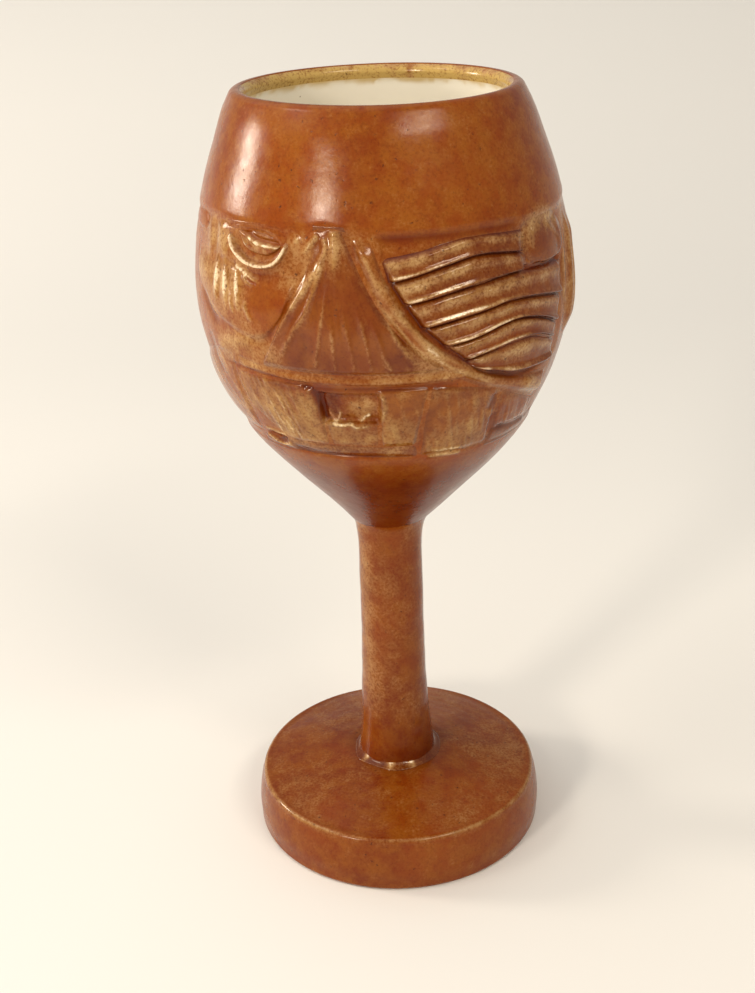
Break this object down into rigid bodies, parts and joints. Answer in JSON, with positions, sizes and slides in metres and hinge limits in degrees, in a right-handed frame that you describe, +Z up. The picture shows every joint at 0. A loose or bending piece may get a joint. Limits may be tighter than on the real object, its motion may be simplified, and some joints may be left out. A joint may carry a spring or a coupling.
{
  "type": "goblet",
  "caption": "Stoneware goblet on a thick round foot and solid stem, its bowl carrying a carved tiki face on both sides, glazed satin brown outside and white inside.",
  "frame": {"origin": "on the surface the goblet stands on, under the middle of its foot", "axes": "+Z up through the stem; the front face looks along -Y; +X is to the right as that face is seen"},
  "size_m": [0.0866, 0.0876, 0.19],
  "materials": {
    "brown_glaze": "satin iron-brown glaze, mottled and speckled, on thrown stoneware",
    "red_brown_glaze": "satin red-brown glaze, breaking to tan on the ridges",
    "tan_glaze": "thin tan glaze where it broke over carving and gathered in the hollows",
    "tooth_glaze": "brushed tan and brown glaze with upright streaks",
    "white_glaze": "glossy cream-white lining glaze",
    "slip_clay": "fired clay slip under glaze"
  },
  "bodies": {
    "root": {"back_cheek_fold": "tan_glaze", "back_cheek_lap_1": "red_brown_glaze", "back_cheek_lap_2": "red_brown_glaze", "back_cheek_lap_3": "red_brown_glaze", "back_cheek_lap_4": "red_brown_glaze", "back_cheek_lap_5": "red_brown_glaze", "back_cheek_lap_6": "red_brown_glaze", "back_cheek_pad": "brown_glaze", "back_ear_left": "brown_glaze", "back_ear_right": "red_brown_glaze", "back_eye_rim": "tan_glaze", "back_eyeball": "tan_glaze", "back_eyelid": "brown_glaze", "back_hair_strands": "brown_glaze", "back_jaw": "tan_glaze", "back_lip_corner": "red_brown_glaze", "back_lower_lip": "red_brown_glaze", "back_nose_fan": "red_brown_glaze", "back_tooth_1": "tooth_glaze", "back_tooth_2": "tooth_glaze", "back_tooth_3": "tooth_glaze", "back_tooth_4": "tooth_glaze", "back_tooth_stump": "tooth_glaze", "back_upper_lip": "brown_glaze", "bowl_wall": "brown_glaze", "foot": "brown_glaze", "front_cheek_fold": "tan_glaze", "front_cheek_lap_1": "red_brown_glaze", "front_cheek_lap_2": "red_brown_glaze", "front_cheek_lap_3": "red_brown_glaze", "front_cheek_lap_4": "red_brown_glaze", "front_cheek_lap_5": "red_brown_glaze", "front_cheek_lap_6": "red_brown_glaze", "front_cheek_pad": "brown_glaze", "front_ear_left": "brown_glaze", "front_ear_right": "red_brown_glaze", "front_eye_rim": "tan_glaze", "front_eyeball": "tan_glaze", "front_eyelid": "brown_glaze", "front_hair_strands": "brown_glaze", "front_jaw": "tan_glaze", "front_lip_corner": "red_brown_glaze", "front_lower_lip": "red_brown_glaze", "front_nose_fan": "red_brown_glaze", "front_tooth_1": "tooth_glaze", "front_tooth_2": "tooth_glaze", "front_tooth_3": "tooth_glaze", "front_tooth_4": "tooth_glaze", "front_tooth_stump": "tooth_glaze", "front_upper_lip": "brown_glaze", "lining_glaze": "white_glaze", "stem": "brown_glaze", "stem_foot_coil": "red_brown_glaze", "stem_foot_slip": "slip_clay", "stem_top_slip": "slip_clay"}
  },
  "joints": []
}
